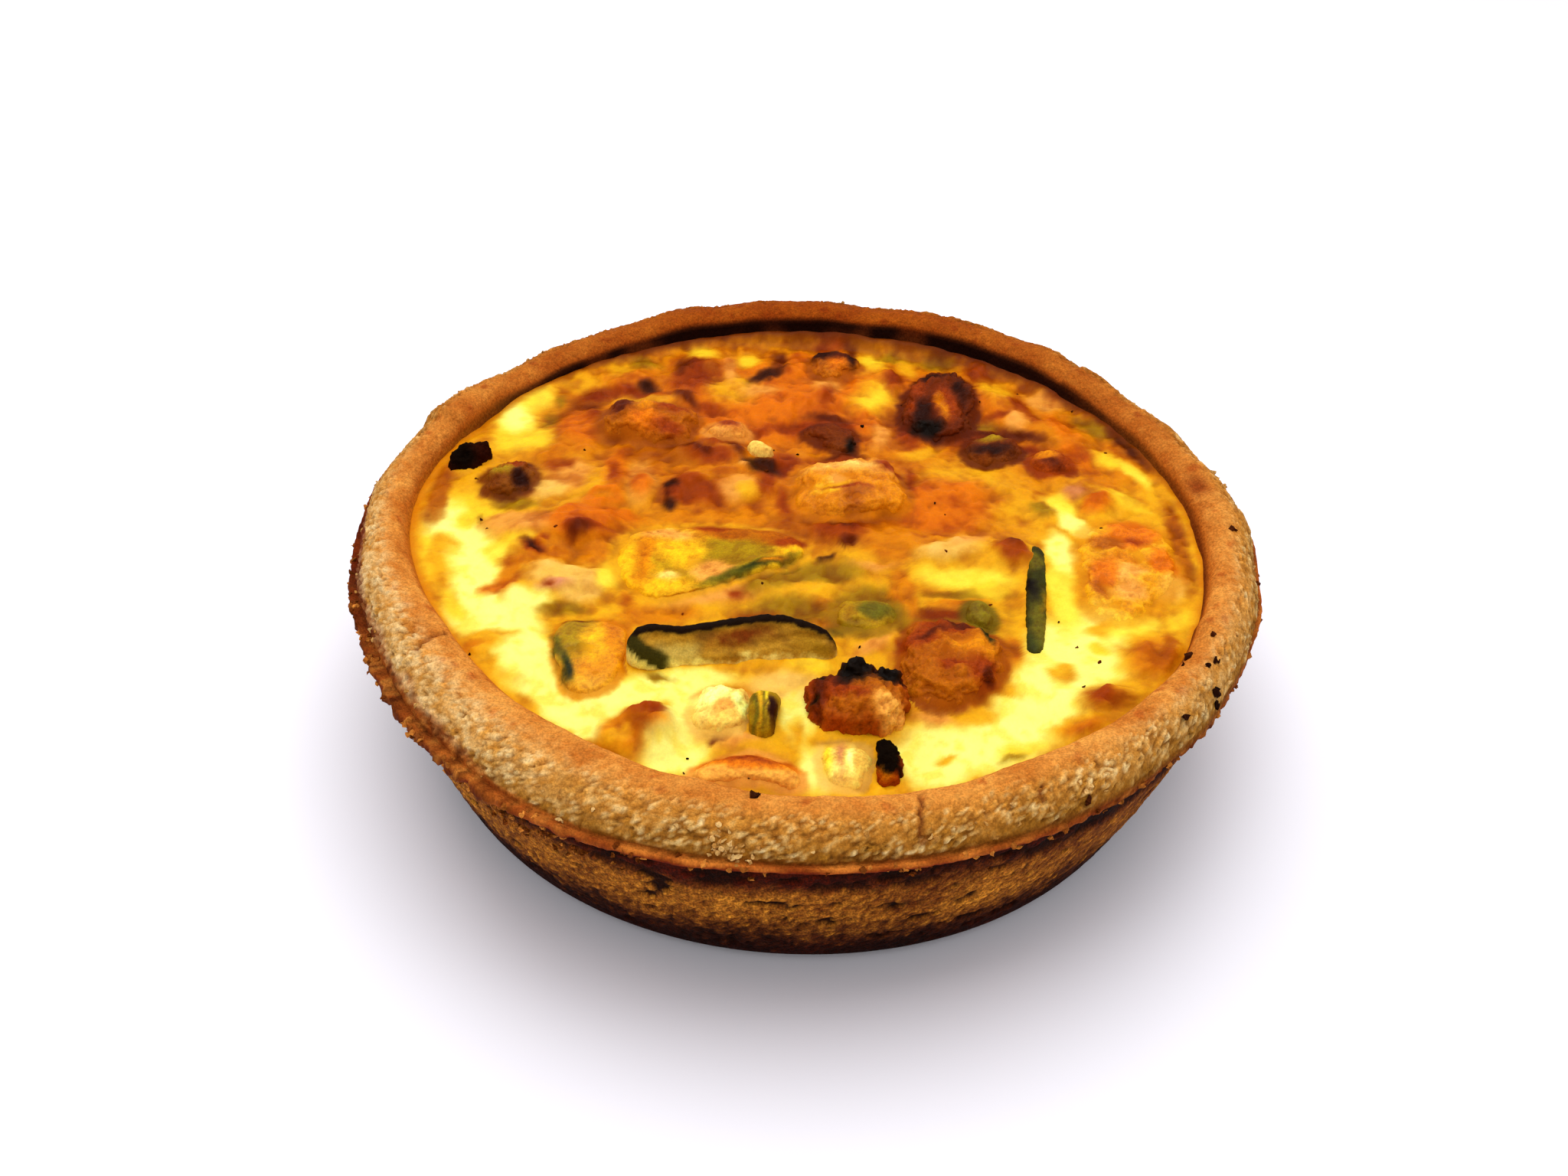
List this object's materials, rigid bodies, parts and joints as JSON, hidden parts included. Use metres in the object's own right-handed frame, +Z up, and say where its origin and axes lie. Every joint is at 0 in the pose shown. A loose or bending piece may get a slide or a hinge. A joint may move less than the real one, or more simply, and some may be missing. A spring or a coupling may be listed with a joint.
{
  "type": "quiche",
  "caption": "Small deep round quiche: sloping shortcrust shell with a folded rim, baked custard just below it, roasted vegetable and fish pieces standing out of the custard",
  "frame": {"origin": "middle of the foot, on the table", "axes": "+Z up, the side shown faces -Y, +X to its right"},
  "size_m": [0.1206, 0.1196, 0.0331],
  "materials": {
    "baked_dough": "matte baked shortcrust, pale on the rim and dark brown down the wall",
    "baked_custard": "glossy baked egg custard, creamy yellow browning to orange",
    "courgette": "roasted courgette, yellow-green flesh with a dark skin",
    "pepper_green": "soft yellow-green pepper",
    "roasted": "roasted orange-brown chunk",
    "fish": "pink-orange baked fish",
    "pale_flesh": "pale soft potato and onion",
    "mushroom": "dark brown roasted mushroom",
    "burnt": "burnt black edge",
    "green_vegetable": "green bean, leek and courgette"
  },
  "bodies": {
    "root": {"crust": "baked_dough", "custard": "baked_custard", "courgette_slice_front": "courgette", "courgette_slice_back": "courgette", "pepper_piece_left": "pepper_green", "charred_chunk_front": "roasted", "roasted_chunk_right": "roasted", "roasted_chunk_back_left": "roasted", "roasted_chunk_back": "roasted", "roasted_lump_right": "roasted", "fish_piece_front": "fish", "fish_piece_right": "fish", "potato_chunk_centre": "pale_flesh", "onion_piece_front": "pale_flesh", "onion_piece_centre": "pale_flesh", "onion_bead_centre": "pale_flesh", "mushroom_back": "mushroom", "mushroom_piece_right": "mushroom", "mushroom_piece_left": "mushroom", "mushroom_piece_centre": "mushroom", "burnt_tip_left": "burnt", "burnt_tip_front": "burnt", "pepper_strip_front": "roasted", "bean_right": "green_vegetable", "leek_piece_front": "green_vegetable", "courgette_bit_centre": "green_vegetable", "courgette_bit_right": "green_vegetable"}
  },
  "joints": []
}
